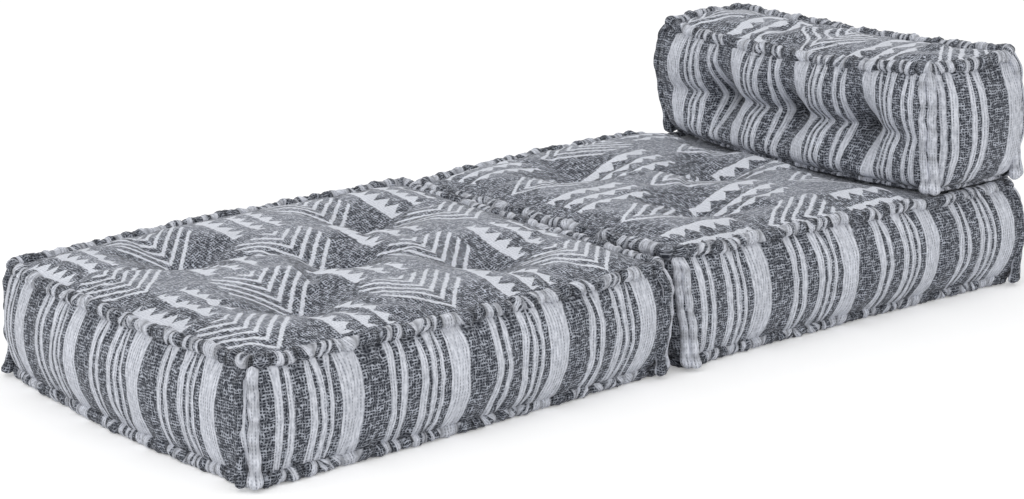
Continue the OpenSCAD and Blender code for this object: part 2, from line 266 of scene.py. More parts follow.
def makeStripeGroup():
    tree, given, leave = startGroup("stripeBands", {"Cloth": None}, ("Band", "Rib", "Streak"))
    x, y = apart(given["Cloth"])
    drift = noise(given["Cloth"], stripes["driftScale"])["Fac"]
    along = x + (drift * (4 * stripes["waver"]) - 2 * stripes["waver"])
    scale = addNode(tree, "ShaderNodeValToRGB", (calc("FRACT", along / stripes["repeat"]),))
    marks = scale.color_ramp.elements
    black, white = (0, 0, 0, 1), (1, 1, 1, 1)
    for mark, position in zip(marks, (0.0, 1.0)):
        mark.position = position
        mark.color = black
    edge = stripes["softness"] / stripes["repeat"]
    marks.new(edge).color = white
    pale = True
    for end in np.cumsum(stripes["bands"])[:-1] / sum(stripes["bands"]):
        marks.new(end - edge).color = white if pale else black
        marks.new(end + edge).color = black if pale else white
        pale = not pale
    counted = along / stripes["ribEvery"]
    spot = joined(calc("FLOOR", counted + 0.5) * 3.7, y / stripes["ribRun"])
    rib = ramp(saw(counted), 0.5, 0.95) * ramp(noise(spot, 1.0)["Fac"], 0.3, 0.62)
    dashes = ramp(saw(y / stripes["dashEvery"]), 0.25, 0.65) * 0.7 + 0.3
    fibres = joined(along * stripes["streaks"][0], y * stripes["streaks"][1])
    streak = ramp(noise(fibres, 1.0)["Fac"], 0.32, 0.62)
    return finishGroup(tree, leave, Band=Signal(scale.outputs["Color"]), Rib=rib * dashes, Streak=streak)


# The woven ornament of the top panels: chevrons and toothed combs in turn, as on a chequerboard.
# A comb is its start in the cell, the width of its back and the reach of its teeth.
motifs = {
    "cell": (0.193, 0.195),
    "margin": 0.007,
    "sharp": 0.0014,
    "chevronPitch": 0.0295,
    "chevronLine": 0.36,
    "combs": ((-0.066, 0.014, 0.027), (-0.006, 0.008, 0.022), (0.040, 0.006, 0.020)),
    "toothPitch": 0.034,
    "teethEachWay": 2.3,
}


def makeMotifGroup():
    tree, given, leave = startGroup("wovenMotifs", {"Cloth": None}, ("Motif",))
    x, y = apart(given["Cloth"])
    cellX, cellY = motifs["cell"]
    sharp = motifs["sharp"]
    columns, rows = x / cellX, y / cellY
    a = (calc("FRACT", columns) - 0.5) * cellX
    b = (calc("FRACT", rows) - 0.5) * cellY
    odd = calc("FLOORED_MODULO", calc("FLOOR", columns) + calc("FLOOR", rows), 2.0)
    absA, absB = calc("ABSOLUTE", a), calc("ABSOLUTE", b)

    def within(value, limit):
        return ramp(limit - value, -sharp, sharp)

    folded = calc("ABSOLUTE", calc("FRACT", (b - absA) / motifs["chevronPitch"]) - 0.5)
    line = ramp(motifs["chevronLine"] / 2 - folded, -0.05, 0.05)
    inside = within(absA, cellX / 2 - motifs["margin"]) * within(absB, cellY / 2 - motifs["margin"])
    chevron = line * inside * ramp(b - absA, 0.002 - cellY / 2, 0.004 - cellY / 2)
    tooth = 1.0 - saw(b / motifs["toothPitch"])
    comb = 0.0
    for start, back, reach in motifs["combs"]:
        depth = a - start
        comb = calc("MAXIMUM", within(depth, tooth * reach + back) * ramp(depth, -sharp, sharp), comb)
    comb = comb * within(absB, motifs["teethEachWay"] * motifs["toothPitch"])
    return finishGroup(tree, leave, Motif=chevron * (1.0 - odd) + comb * odd)


# Broad unevenness of dye and wear
def makeUnevenGroup():
    tree, given, leave = startGroup("unevenDye", {"Cloth": None, "Amount": 0.1}, ("Shade",))
    shade = (noise(given["Cloth"], 9.0, detail=4.0)["Fac"] - 0.5) * given["Amount"] + 1.0
    return finishGroup(tree, leave, Shade=shade)


def startMaterial(name, sheen):
    material = bpy.data.materials.new(name)
    material.use_nodes = True
    tree = material.node_tree
    shader = tree.nodes["Principled BSDF"]
    for label, value in (("Specular IOR Level", 0.25), ("Sheen Weight", sheen), ("Sheen Roughness", 0.5)):
        shader.inputs[label].default_value = value
    cloth = Signal(addNode(tree, "ShaderNodeUVMap", uv_map="clothMap").outputs[0])
    return material, cloth


# Colour is darkened by shade, and yarns that show pale are a little smoother than the rest
def finishCloth(material, weave, colour, shade, depth, rough=0.92, smoother=0.08):
    tree = material.node_tree
    shader = tree.nodes["Principled BSDF"]
    feed(tree, shader.inputs["Base Color"], scaled(colour, shade))
    feed(tree, shader.inputs["Roughness"], rough - weave["Light"] * smoother)
    bump = addNode(tree, "ShaderNodeBump")
    for label, value in (("Strength", 0.7), ("Distance", depth), ("Height", weave["Height"])):
        feed(tree, bump.inputs[label], value)
    feed(tree, shader.inputs["Normal"], bump.outputs[0])
    return material


stripedFinish = {
    "dark": cloth8(34, 38, 48),
    "slub": cloth8(186, 191, 202),
    "shadow": cloth8(196, 200, 210),
    "pale": cloth8(229, 232, 241),
    "rib": cloth8(120, 124, 135),
    "sheen": 0.12,
    "yarns": {"Pitch": 0.0056, "Slub": 0.0100, "Warp": 0.42},
    # How far the fold attribute's painted shade darkens folds, seams, pits and pinches
    "paintedFoldShade": 0.7,
    "rubScale": 80.0,
}


# Rubbed says how patchily wear has darkened and bleached the cloth, and the fold attribute paints shade
# into its folds, seams, pits and pinches
def makeStripedCloth(name, groups, weft, rubbed):
    material, cloth = startMaterial(name, stripedFinish["sheen"])
    tree = material.node_tree
    foldShadeAndOpenWeave = Signal(addNode(tree, "ShaderNodeAttribute", attribute_name="fold").outputs["Fac"])
    weave = useGroup(tree, groups["weave"], Cloth=cloth, Weft=weft, **stripedFinish["yarns"])
    bands = useGroup(tree, groups["stripes"], Cloth=cloth)
    ground = mixColour(weave["Light"], stripedFinish["dark"], stripedFinish["slub"])
    pale = mixColour(bands["Streak"], stripedFinish["shadow"], stripedFinish["pale"])
    pale = mixColour(bands["Rib"], pale, stripedFinish["rib"])
    rubbing = noise(cloth, stripedFinish["rubScale"], detail=3.0)["Fac"] * rubbed + (1 - 0.56 * rubbed)
    shade = useGroup(tree, groups["uneven"], Cloth=cloth, Amount=0.25)["Shade"]
    # Painted shade: the fold attribute darkens folds, seams, pits and pinches; rubbing is patchy wear
    shade = shade * (1.0 - foldShadeAndOpenWeave * stripedFinish["paintedFoldShade"]) * rubbing
    return finishCloth(material, weave, mixColour(bands["Band"], ground, pale), shade, 0.0006)


topFinish = {
    "dark": cloth8(104, 108, 118),
    "slub": cloth8(198, 202, 212),
    "shadow": cloth8(196, 200, 210),
    "pale": cloth8(237, 240, 248),
    "sheen": 0.12,
    "yarns": {"Pitch": 0.0056, "Slub": 0.0095, "Warp": 0.55, "Weft": 0.52},
    "frayScale": 150.0,
    "fray": 0.007,
    "heatherScale": 230.0,
    "heather": 2.0,
}


# The fold attribute opens the weave towards the rolled edges and on steep slopes
def makePatternedCloth(groups):
    material, cloth = startMaterial("patternedCloth", topFinish["sheen"])
    tree = material.node_tree
    foldShadeAndOpenWeave = Signal(addNode(tree, "ShaderNodeAttribute", attribute_name="fold").outputs["Fac"])
    weave = useGroup(tree, groups["weave"], Cloth=cloth, **topFinish["yarns"])
    fray = noise(cloth, topFinish["frayScale"], detail=3.0)["Color"]
    fray = calcVector("SUBTRACT", fray, (0.5, 0.5, 0.5))
    frayed = calcVector("MULTIPLY_ADD", fray, (topFinish["fray"], topFinish["fray"], 0.0), cloth)
    motif = useGroup(tree, groups["motifs"], Cloth=frayed)["Motif"]
    flecks = noise(cloth, topFinish["heatherScale"], detail=3.0, roughness=0.7)["Fac"]
    closed = mixColour(weave["Light"], topFinish["dark"], topFinish["slub"])
    opened = mixColour(weave["Light"], stripedFinish["dark"], stripedFinish["slub"])
    ground = scaled(mixColour(foldShadeAndOpenWeave, closed, opened), flecks * topFinish["heather"])
    pale = mixColour(weave["Height"], topFinish["shadow"], topFinish["pale"])
    shade = useGroup(tree, groups["uneven"], Cloth=cloth, Amount=0.3)["Shade"]
    return finishCloth(material, weave, mixColour(motif, ground, pale), shade, 0.0004)


plainFinishes = {
    "underside_cover": {
        "name": "undersideCloth", "dark": cloth8(46, 49, 56), "pale": cloth8(150, 153, 160),
        "pitch": 0.0045, "slub": 0.008, "sheen": 0.1,
    },
    "filling": {
        "name": "wadding", "dark": cloth8(205, 200, 188), "pale": cloth8(236, 232, 222),
        "pitch": 0.006, "slub": 0.03, "sheen": 0.3,
    },
    "twine": {
        "name": "waxedTwine", "dark": cloth8(92, 95, 104), "pale": cloth8(156, 160, 169),
        "pitch": 0.0011, "slub": 0.004, "sheen": 0.05,
    },
}


def makePlainCloth(groups, look):
    material, cloth = startMaterial(look["name"], look["sheen"])
    tree = material.node_tree
    weave = useGroup(tree, groups["weave"], Cloth=cloth, Pitch=look["pitch"], Slub=look["slub"])
    shade = useGroup(tree, groups["uneven"], Cloth=cloth, Amount=0.3)["Shade"]
    colour = mixColour(weave["Light"], look["dark"], look["pale"])
    return finishCloth(material, weave, colour, shade, 0.0004, rough=0.94, smoother=0.06)


def makeMaterials():
    groups = {
        "weave": makeWeaveGroup(),
        "stripes": makeStripeGroup(),
        "motifs": makeMotifGroup(),
        "uneven": makeUnevenGroup(),
    }
    made = {slot: makePlainCloth(groups, look) for slot, look in plainFinishes.items()}
    made["patterned_cover"] = makePatternedCloth(groups)
    made["striped_cover"] = makeStripedCloth("stripedCloth", groups, weft=0.52, rubbed=0.4)
    made["rolled_edge"] = makeStripedCloth("rolledEdgeCloth", groups, weft=0.50, rubbed=0.8)
    return made


# Meshes are gathered as grids of points with a cloth measure for every point
def newParts():
    return {"points": [], "faces": [], "cloth": [], "fold": [], "count": 0}


# A grid of points; wrapped joins its last column to its first, looped its last row to its first
def addGrid(parts, points, cloth, fold=None, looped=False, wrapped=False, capped=False):
    rows, columns = points.shape[:2]
    if fold is None:
        fold = np.zeros((rows, columns))
    steps = (np.arange(rows if looped else rows - 1), np.arange(columns if wrapped else columns - 1))
    i, j = np.meshgrid(*steps, indexing="ij")
    i, j = i.ravel(), j.ravel()
    nextI, nextJ = i + 1, j + 1
    corners = ((i, j), (nextI, j), (nextI, nextJ), (i, nextJ))
    faces = np.stack([parts["count"] + (a % rows) * columns + b % columns for a, b in corners], axis=1)
    measures = np.stack([cloth[a, b] for a, b in corners], axis=1)
    parts["points"].append(points.reshape(-1, 3))
    parts["fold"].append(fold.ravel())
    parts["faces"].extend(faces.tolist())
    parts["cloth"].append(measures.reshape(-1, 2))
    if capped:
        ring = parts["count"] + np.arange(columns)
        parts["faces"].append(ring.tolist())
        parts["faces"].append((ring + (rows - 1) * columns)[::-1].tolist())
        parts["cloth"].append(cloth[0, :columns])
        parts["cloth"].append(cloth[-1, :columns][::-1])
    parts["count"] += rows * columns
    return parts


def makeObject(name, parts, material):
    mesh = bpy.data.meshes.new(name)
    mesh.from_pydata(np.concatenate(parts["points"]).tolist(), [], parts["faces"])
    layer = mesh.uv_layers.new(name="clothMap")
    layer.data.foreach_set("uv", np.concatenate(parts["cloth"]).astype(np.float32).ravel())
    fold = mesh.attributes.new("fold", "FLOAT", "POINT")
    fold.data.foreach_set("value", np.concatenate(parts["fold"]).astype(np.float32))
    mesh.materials.append(material)
    mesh.shade_smooth()
    return addObject(name, mesh)


# Thick cloth: a smooth sheet with a back and a hem
def thicken(piece):
    smooth = piece.modifiers.new("smooth", "SUBSURF")
    smooth.levels = 1
    smooth.render_levels = 1
    body = piece.modifiers.new("thickness", "SOLIDIFY")
    body.thickness = cover["thickness"]
    body.offset = -1.0


# Smooth waver along a length, from a few seeded waves between two wavelengths
def waver(along, seed, shortest, longest):
    dice = np.random.default_rng(seed)
    total = np.zeros_like(along)
    for wave in np.geomspace(shortest, longest, 5):
        total += np.sin(2 * np.pi * (along / wave + dice.random())) * dice.uniform(0.5, 1.0)
    return total / 2.2


def smoothStep(value, low, high):
    share = np.clip((value - low) / (high - low), 0, 1)
    return share * share * (3 - 2 * share)


# What the cushions share. In the frame the corner rolls stand out by cornerStand and end short of
# the cushion's height by rollGap.
cover = {
    "rollRadius": 0.0148,
    "rollGap": 0.0283,
    "rollStep": 0.003,
    "cornerStand": 0.0016,
    "rest": 0.0008,
    "knot": 0.009,
    "strand": 0.0011,
    "twist": 0.012,
    "tieFoot": 0.008,
    "waddingGap": 0.012,
    "pinchEvery": 0.032,
    "groove": 0.011,
    "topGroove": 0.009,
    "gridStep": 0.011,
    "thickness": 0.0016,
}

# Four values are those of the four sides, and of the corners at their far ends.
# bow, footBow: how far an edge arches outwards, at the top and at the foot
# rise: how far the middle of a top edge stands up
# swell: how far the middle of a border stands out
# spread, lean: how far a whole side moves outwards, and how far only its top
# cornerPeak, ears: broad and narrow lift of the top at a corner
# cornerBulge, cornerTuck: a corner pushed out at mid-height, and its foot drawn in
# cornerShift: a corner moved along X and Y, first its top and then its foot; cornerFade how fast
#     that fades along the sides
# cornerStripes: where the two lobes of a corner roll lie in the striped cloth, as shares of a repeat
# cornerTwin: 1 has the second lobe on the side before the corner, -1 on the side after it
# lobes: radius, shift along that side and stand off it, for both lobes
seats = {
    "foot_seat": {
        "borders": ("border_front", "border_inner", "border_rear", "border_end"),
        "bow": (0.018, 0, 0.018, 0.022),
        "footBow": (0.018, 0, 0.018, 0.032),
        "rise": (-0.003, 0.004, 0.010, -0.003),
        "swell": (0.026, -0.011, 0.026, 0.022),
        "spread": (0.002, 0, 0, 0.008),
        "lean": (0, 0.009, 0, 0),
        "cornerPeak": (-0.002, 0.016, 0, -0.008),
        "ears": (0.003, 0.004, 0.004, 0),
        "cornerBulge": (0.014, 0.008, 0.004, 0.008),
        "cornerTuck": (0.004, 0, 0.002, -0.020),
        "cornerShift": ((0, 0, 0, 0), (0, 0, 0, 0), (0, 0, 0, 0), (0, 0, -0.004, -0.020)),
        "cornerFade": 2.5,
        "cornerStripes": ((0.494, 0.320), (0.330, 0.440), (0.300, 0.320), (0.100, 0.330)),
        "cornerTwin": (1, -1, 1, 1),
        "lobes": ((0.0108, 0, 0), (0.0092, 0.021, 0.0165)),
        "crown": 0.014,
        "lumps": 0.005,
        "tuftDepth": 0.056,
        "stripeStart": (0.174, 0.110, 0.150, 0.087),
        "stripeRepeat": (0.2385, 0.240, 0.240, 0.2125),
        "stripeTurn": 1,
        "motifOrigin": (0.022, -0.0035),
        "motifScale": (1.0, 1.0),
        "motifTurned": False,
        "motifSway": 0.002,
        "bottomRoll": 0.0138,
        "bottomInset": 0,
        "seed": 11,
    },
    "head_seat": {
        "borders": ("border_front", "border_end", "border_rear", "border_inner"),
        "bow": (0.018, 0.018, 0.018, 0),
        "footBow": (0.012, 0.018, 0.018, 0),
        "rise": (0.009, 0, 0.020, 0.008),
        "swell": (0.026, 0.040, 0.026, -0.011),
        "spread": (-0.020, 0.046, 0, 0),
        "lean": (0.008, 0, 0, 0.024),
        "cornerPeak": (0, 0, 0.006, 0.012),
        "ears": (0, 0, 0.004, 0.003),
        "cornerBulge": (0.028, 0.008, 0.008, 0.008),
        "cornerTuck": (0.002, 0, 0, 0.004),
        "cornerShift": ((0, 0, -0.012, -0.026), (0, 0, 0, 0), (0, 0, 0, 0), (0.008, 0, -0.002, -0.036)),
        "cornerFade": 6.0,
        "cornerStripes": ((0.200, 0.320), (0.050, 0.160), (0.300, 0.410), (0.100, 0.110)),
        "cornerTwin": (1, 1, 1, -1),
        "lobes": ((0.0092, 0.006, 0.0015), (0.0094, 0.020, 0.0115)),
        "crown": 0.014,
        "lumps": 0.004,
        "tuftDepth": 0.050,
        "stripeStart": (0.184, 0.130, 0.060, 0.040),
        "stripeRepeat": (0.2380, 0.240, 0.240, 0.240),
        "stripeTurn": 1,
        "motifOrigin": (0.182, -0.019),
        "motifScale": (1.109, 0.867),
        "motifTurned": True,
        "motifSway": 0.003,
        "bottomRoll": 0.0138,
        "bottomInset": 0,
        "seed": 23,
    },
    "backrest": {
        "borders": ("border_front", "reverse", "border_rear", "face"),
        "bow": (0.005, 0.018, 0.005, 0.018),
        "footBow": (0.005, 0.018, 0.005, 0.045),
        "rise": (0.006, -0.004, 0.006, -0.014),
        "swell": (0.018, 0.026, 0.018, 0.010),
        "spread": (0, 0.018, 0.016, 0),
        "lean": (0, 0, 0, 0),
        "cornerPeak": (0.022, 0.008, -0.007, 0.009),
        "ears": (0.008, 0.004, 0.013, 0),
        "cornerBulge": (0.016, 0.010, 0.025, 0.010),
        "cornerTuck": (0, 0, 0.012, 0),
        "cornerShift": (
            (0.006, 0, 0.012, 0), (0, 0, 0, 0), (-0.004, 0.002, -0.004, -0.012), (0, 0.028, 0, 0.006)),
        "cornerFade": 3.0,
        "cornerStripes": ((0.050, 0.160), (0.050, 0.160), (0.300, 0.340), (0.100, 0.110)),
        "cornerTwin": (1, 1, 1, 1),
        "lobes": ((0.0104, 0, 0), (0.0096, 0.0175, 0.0085)),
        "crown": 0.004,
        "lumps": 0.014,
        "tuftDepth": 0.104,
        "tuftLift": 0.009,
        "stripeStart": (0.224, 0.100, 0.100, 0.096),
        "stripeRepeat": (0.240, 0.200, 0.205, 0.198),
        "stripeTurn": -1,
        "motifOrigin": (0.060, 0.020),
        "motifScale": (1.0, 0.9),
        "motifTurned": True,
        "motifSway": 0.012,
        "bottomRoll": 0.007,
        "bottomInset": 0.020,
        "seed": 37,
    },
}


# Size and place of a cushion, from its corner rolls and its ties in the frame
def readCushion(name):
    cushion = dict(seats[name])
    low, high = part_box(name + "_corner_rolls")
    stand = cover["cornerStand"]
    cushion["name"] = name
    cushion["half"] = ((high.x - low.x) / 2 - stand, (high.y - low.y) / 2 - stand)
    cushion["centre"] = np.array(((high.x + low.x) / 2, (high.y + low.y) / 2))
    cushion["base"] = low.z - cover["rollGap"]
    cushion["height"] = high.z + cover["rollGap"] - cushion["base"]
    tieLow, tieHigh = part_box(name + "_ties")
    reachX, reachY = ((tieHigh[k] - tieLow[k] - cover["knot"]) / 2 for k in (0, 1))
    cushion["tufts"], cushion["sideTufts"] = [], None
    if name == "backrest":
        middle = (tieLow.z + tieHigh.z) / 2 - cushion["base"]
        cushion["sideTufts"] = (reachY, middle + cushion["tuftLift"])
    else:
        corners = [(sx * reachX, sy * reachY) for sx in (-1, 1) for sy in (-1, 1)]
        cushion["tufts"] = [(0.0, 0.0)] + corners
    dice = np.random.default_rng(cushion["seed"])
    cushion["pinches"] = {edge: makePinches(cushion, dice) for edge in ("top", "bottom")}
    return cushion


# Where the stitches of a rolled edge pinch it, as side number plus share of that side
def makePinches(cushion, dice):
    places = []
    for side in range(4):
        length = 2 * cushion["half"][side % 2]
        count = round(length / cover["pinchEvery"])
        places.append(side + (np.arange(count) + dice.uniform(-0.32, 0.32, count)) / count)
    places = np.sort(np.concatenate(places))
    sizes = dice.uniform(0.60, 1.0, len(places) + 2)
    return places, sizes


# How far between two pinches a place lies, 0 to 1, and which lump it is on
def betweenPinches(pinches, station):
    places, sizes = pinches
    station = np.mod(station, 4)
    padded = np.concatenate(([places[-1] - 4], places, [places[0] + 4]))
    lump = np.clip(np.searchsorted(padded, station, side="right") - 1, 0, len(padded) - 2)
    share = (station - padded[lump]) / (padded[lump + 1] - padded[lump])
    return np.clip(share, 0, 1), lump


def turned(x, y, side):
    return ((x, y), (-y, x), (-x, -y), (y, -x))[side]


# How the backrest sinks into the head seat: its face stands before its core by foot, and arches
pressing = {
    "foot": 0.056,
    "arch": 0.018,
    "ease": (-0.030, 0.006),
    "ridge": 0.004,
    "ridgePlace": -0.022,
    "ridgeWidth": 0.016,
}


# Where the backrest's face meets the head seat, in that seat's own measure
def faceLine(cushion, y):
    low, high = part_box("backrest_core")
    share = np.clip(y / cushion["half"][1], -1, 1)
    return low.x - pressing["foot"] - pressing["arch"] * (1 - share ** 2) - cushion["centre"][0]


# How much of an edge's rise is left where the backrest presses on the head seat
def pressFree(cushion, x, y):
    if cushion["name"] != "head_seat":
        return np.ones_like(x)
    beyond = x - faceLine(cushion, y)
    return 1 - smoothStep(beyond, *pressing["ease"])


# Nothing under the backrest stands above the head seat's own height
def pressed(cushion, x, y, z):
    return np.minimum(z, np.where(pressFree(cushion, x, y) < 0.5, cushion["height"] - cover["rest"], 9))


# The low ridge that the head seat's top forms along the backrest's face
def pressRidge(cushion, x, y):
    if cushion["name"] != "head_seat":
        return 0 * x
    share = np.clip(np.abs(y) / cushion["half"][1], 0, 1)
    beyond = x - faceLine(cushion, y) - pressing["ridgePlace"]
    return pressing["ridge"] * np.exp(-(beyond / pressing["ridgeWidth"]) ** 2) * (1 - share ** 6)


# From a cushion's own measure to the shared frame
def placed(cushion, x, y, z):
    return np.stack([x + cushion["centre"][0], y + cushion["centre"][1], z + cushion["base"]], axis=-1)


# A side's two corners, each with its nearness: 0 at the other corner, 1 at this one
def cornersOf(side, share):
    return ((side - 1) % 4, (1 - share) / 2), (side, (1 + share) / 2)


# A point of the seam line: share runs from -1 to 1 along a side, level from 0 at the floor to 1
def seamPoint(cushion, side, share, level, inset):
    half = cushion["half"]
    along = side % 2
    before, after = (side - 1) % 4, (side + 1) % 4

    def moved(which):
        return cushion["spread"][which] + cushion["lean"][which] * level

    def cornerOut(which):
        bulge = 0.7 * cushion["cornerBulge"][which] * np.sin(np.pi * np.clip(level, 0, 1))
        return bulge - cushion["cornerTuck"][which] * (1 - level) ** 2

    first, last = cornerOut(before), cornerOut(side)
    start = -half[along] - moved(before) - first + inset
    end = half[along] + moved(after) + last - inset
    t = start + (share + 1) / 2 * (end - start)
    bow = (cushion["footBow"][side] * (1 - level) + cushion["bow"][side] * level) * (1 - share ** 2)
    corners = first * ((1 - share) / 2) ** 2 + last * ((1 + share) / 2) ** 2
    out = half[1 - along] + moved(side) + bow + corners - inset
    x, y = turned(t, -out, side)
    for which, nearness in cornersOf(side, share):
        topX, topY, footX, footY = cushion["cornerShift"][which]
        weight = nearness ** cushion["cornerFade"]
        x = x + weight * (topX * level + footX * (1 - level))
        y = y + weight * (topY * level + footY * (1 - level))
    return x, y


def topLine(cushion, side, share):
    x, y = seamPoint(cushion, side, share, 1.0, cover["rollRadius"])
    rise = cushion["rise"][side] * (1 - share ** 2) * pressFree(cushion, x, y)
    top = cushion["height"] + rise
    for which, nearness in cornersOf(side, share):
        top = top + cushion["cornerPeak"][which] * nearness ** 3 + cushion["ears"][which] * nearness ** 26
    return top


# Which length of the striped cloth lies at a place along a side
def stripeAt(cushion, side, share):
    length = 2 * cushion["half"][side % 2]
    phase = ((share + 1) / 2 * length - cushion["stripeStart"][side]) / cushion["stripeRepeat"][side]
    return phase * cushion["stripeTurn"] * stripes["repeat"]


# Even shares along a side, about one grid step apart
def sharesOf(cushion, axis):
    count = round(2 * cushion["half"][axis] / cover["gridStep"])
    return np.linspace(-1, 1, count + 1)


# A tuft draws the cloth in steeply at its stitch and gently round it
def tuftShape(distance, depth, reach):
    steep = np.exp(-distance / (0.17 * reach))
    gentle = np.exp(-(distance / (0.58 * reach)) ** 2)
    return depth * (0.45 * steep + 0.55 * gentle)


# The top rounds off within edgeEase of its edges. Its stitches hold what lies within heldEdge of
# an edge and within heldTuft of a tuft. The weave opens between the two distances of openWeave.
topLook = {
    "edgeEase": 0.16,
    "tuftReach": 0.17,
    "pinch": 0.0035,
    "pinchStart": 0.010,
    "pinchReach": 0.020,
    "openWeave": (0.012, 0.070),
    "heldEdge": 0.011,
    "heldTuft": 0.024,
}


# The crowned top panel, drawn in at its tufts; fullness below 1 leaves room to inflate
def topPanel(cushion, fullness):
    p, q = sharesOf(cushion, 0), sharesOf(cushion, 1)
    radius, seed = cover["rollRadius"], cushion["seed"]

    def edge(side, shares):
        x, y = seamPoint(cushion, side, shares, 1.0, radius)
        return np.stack([x, y, topLine(cushion, side, shares) - radius], axis=-1)

    front, rear = edge(0, p)[:, None], edge(2, -p)[:, None]
    right, left = edge(1, q)[None, :], edge(3, -q)[None, :]
    u = ((p + 1) / 2)[:, None, None]
    v = ((q + 1) / 2)[None, :, None]
    corner = (front[0, 0], front[-1, 0], rear[0, 0], rear[-1, 0])
    points = (1 - v) * front + v * rear + (1 - u) * left + u * right
    points = points - ((1 - u) * (1 - v) * corner[0] + u * (1 - v) * corner[1]
                       + (1 - u) * v * corner[2] + u * v * corner[3])
    x, y = points[..., 0], points[..., 1]
    halfX, halfY = cushion["half"][0] - radius, cushion["half"][1] - radius
    wide, deep = p[:, None] + 0 * y, q[None, :] + 0 * x
    distX, distY = (1 - np.abs(wide)) * halfX, (1 - np.abs(deep)) * halfY
    near = np.minimum(distX, distY)
    free = pressFree(cushion, x, y)
    ease = min(topLook["edgeEase"], 0.9 * min(halfX, halfY))

    def rounded(distance):
        return 1 - (1 - np.clip(distance / ease, 0, 1)) ** 2

    rounding = rounded(distX) * rounded(distY)
    lift = (radius - cover["topGroove"]) * smoothStep(near, 0, 0.012)
    crown = (cover["topGroove"] + cushion["crown"] * fullness * free) * rounding
    pull = np.zeros_like(x)
    for tuft in cushion["tufts"]:
        away = np.hypot(x - tuft[0], y - tuft[1])
        pull = np.maximum(pull, tuftShape(away, cushion["tuftDepth"], topLook["tuftReach"]))
    z = points[..., 2] + lift + crown - pull * (0.3 + 0.7 * free)
    lumps = waver(x * 1.3 + 0.4 * y, seed, 0.11, 0.4) * waver(y - 0.3 * x, seed + 1, 0.11, 0.4)
    z = z + cushion["lumps"] * lumps * rounding * free
    z = pressed(cushion, x, y, z) + pressRidge(cushion, x, y)
    fold = np.zeros_like(x)
    sides = ((wide, distY, y < 0), (deep, distX, x > 0), (-wide, distY, y > 0), (-deep, distX, x < 0))
    for side, (shares, distance, belongs) in enumerate(sides):
        share = betweenPinches(cushion["pinches"]["top"], side + (shares + 1) / 2)[0]
        strength = np.exp(-np.maximum(distance - topLook["pinchStart"], 0) / topLook["pinchReach"])
        gather = belongs * (1 - np.sin(np.pi * share) ** 0.7)
        z = z - topLook["pinch"] * strength * gather * smoothStep(distance, 0, 0.01)
        fold = np.maximum(fold, (1 - smoothStep(distance, *topLook["openWeave"])) * belongs)
    flatX, flatY = wide * halfX, deep * halfY
    if cushion["motifTurned"]:
        cloth = np.stack([-flatY + halfY, flatX + halfX], axis=-1)
    else:
        cloth = np.stack([flatX + halfX, flatY + halfY], axis=-1)
    cloth = cloth * np.array(cushion["motifScale"]) + np.array(cushion["motifOrigin"])
    sway = [waver(1.2 * x + y, seed + 5, 0.15, 0.5), waver(y - x, seed + 6, 0.15, 0.5)]
    cloth = cloth + cushion["motifSway"] * np.stack(sway, axis=-1)
    held = (near < topLook["heldEdge"]) | (free < 0.5)
    for tuft in cushion["tufts"]:
        held = held | (np.hypot(x - tuft[0], y - tuft[1]) < topLook["heldTuft"])
    return {"points": placed(cushion, x, y, z), "cloth": cloth, "fold": 0.8 * fold, "held": held}


# The weave also opens on the steep slopes of a filled top
def openSlopes(panel):
    along = np.gradient(panel["points"], axis=0)
    across = np.gradient(panel["points"], axis=1)
    normal = np.cross(along, across)
    steep = 1 - np.abs(normal[..., 2]) / np.maximum(np.linalg.norm(normal, axis=-1), 1e-12)
    panel["fold"] = np.maximum(panel["fold"], smoothStep(steep, 0.006, 0.055))


# The tufted sides of the backrest: pits at the tufts, a crease between them, a lobe above and
# below. The crease and the lobes are a size and its change along the side, their places a height
# and a width, and the dark ones, painted shade in the pits and along the crease, a strength and its reach.
creased = {
    "crease": (0.062, -0.006),
    "creaseWidth": 0.030,
    "endEase": 0.55,
    "pitReach": 0.13,
    "pitGrade": 0.1,
    "pitShade": (1.15, 0.022),
    "creaseShade": (0.25, 0.008),
    "upperLobe": (0.004, 0.0),
    "upperPlace": (0.19, 0.05),
    "lowerLobe": (0.016, -0.005),
    "lowerPlace": (0.034, 0.030),
}


# How far the creased side stands out, how much shade is painted into its pits and crease, and which points
# its stitches hold
def creaseSide(cushion, share, z):
    spacing, tuftHeight = cushion["sideTufts"]
    t = share * cushion["half"][1]
    up = z - tuftHeight
    free = 1 - np.abs(share) ** 5

    def graded(label):
        size, change = creased[label]
        return size + change * share

    def lobe(size, place):
        height, width = creased[place]
        return graded(size) * np.exp(-((z - height) / width) ** 2)

    crease = graded("crease") * np.exp(-np.abs(up) / creased["creaseWidth"]) * free
    crease = crease * (1 - creased["endEase"] * smoothStep(np.abs(t), spacing, cushion["half"][1]))
    # Painted shade along the crease, and below it in the pits
    dark, reach = creased["creaseShade"]
    fold = dark * np.exp(-np.abs(up) / reach) * free
    held = (np.abs(up) < 0.005) & (np.abs(share) < 0.85)
    pull = np.zeros_like(z)
    dark, reach = creased["pitShade"]
    for place in (-1, 0, 1):
        distance = np.hypot(t - place * spacing, up)
        depth = cushion["tuftDepth"] * (1.1 - creased["pitGrade"] * place)
        pull = np.maximum(pull, tuftShape(distance, depth, creased["pitReach"]))
        held = held | (distance < 0.014)
        fold = np.maximum(fold, dark * np.exp(-distance / reach))
    lobes = lobe("upperLobe", "upperPlace") + lobe("lowerLobe", "lowerPlace")
    return lobes * free - np.maximum(pull, crease) - 0.2 * np.minimum(pull, crease), fold, held


